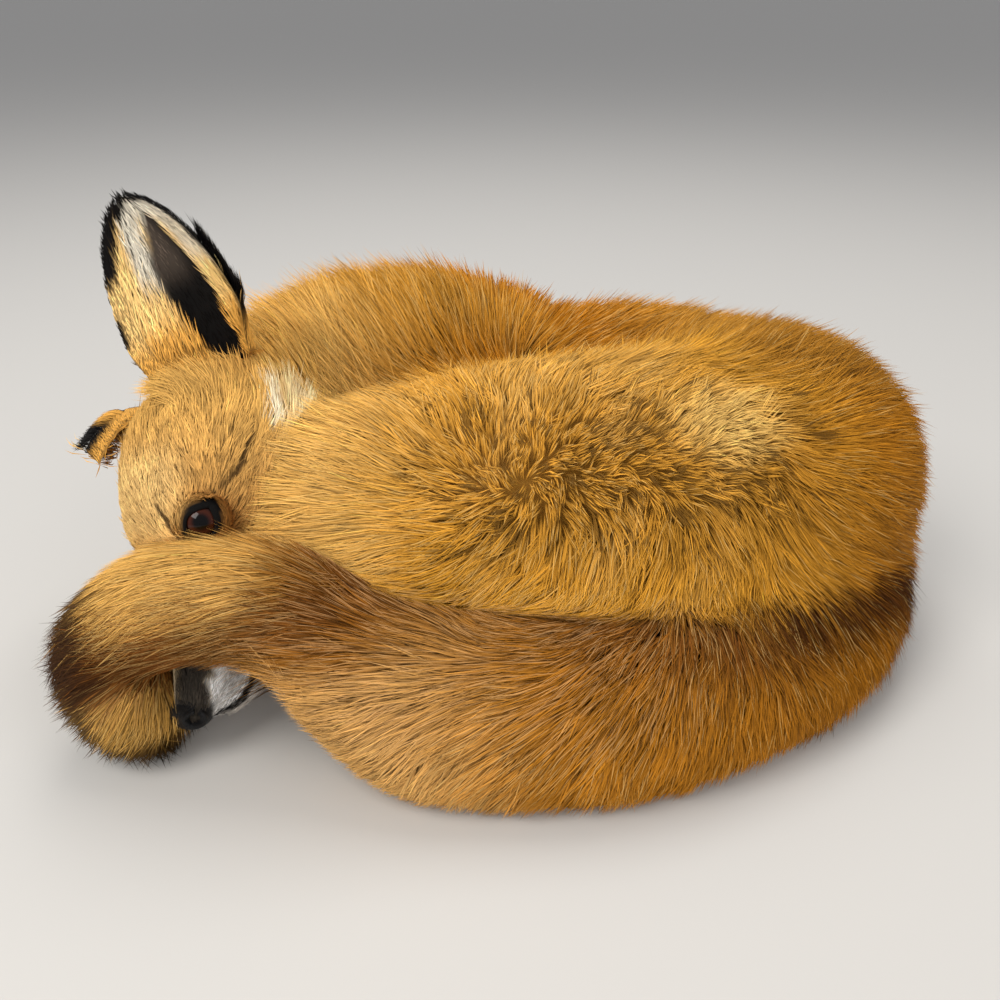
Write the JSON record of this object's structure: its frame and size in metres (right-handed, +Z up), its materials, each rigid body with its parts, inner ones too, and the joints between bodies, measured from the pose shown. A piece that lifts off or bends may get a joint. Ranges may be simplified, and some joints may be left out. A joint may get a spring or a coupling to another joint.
{
  "type": "taxidermy fox",
  "caption": "Red fox mount curled up asleep on its right side, the head low, the ears up and the tail drawn round the front and over the muzzle.",
  "frame": {"origin": "on the floor, under the trunk", "axes": "+X from the head to the rump, +Y from the open side of the curl to the back, +Z up"},
  "size_m": [0.427, 0.3255, 0.2327],
  "materials": {
    "face_coat": "short orange-tan fox fur, white lips, dark lines at the eyes",
    "ear_coat": "short black fur outside, cream hair inside",
    "body_coat": "dense orange-tan fox fur with darker-tipped guard hair",
    "tail_coat": "long bushy fox fur, dark brown and black at the tips",
    "nose_pad": "pebbled black nose leather, slightly moist",
    "eye": "glass taxidermy eye, red-brown iris, black pupil"
  },
  "bodies": {
    "root": {"head": "face_coat", "ear_left": "ear_coat", "ear_right": "ear_coat", "neck": "body_coat", "trunk": "body_coat", "foreleg_left": "body_coat", "foreleg_right": "body_coat", "hind_leg_left": "body_coat", "hind_leg_right": "body_coat", "tail_root": "tail_coat", "tail_middle": "tail_coat", "tail_tip": "tail_coat", "nose": "nose_pad", "eye_left": "eye", "eye_right": "eye"}
  },
  "joints": []
}
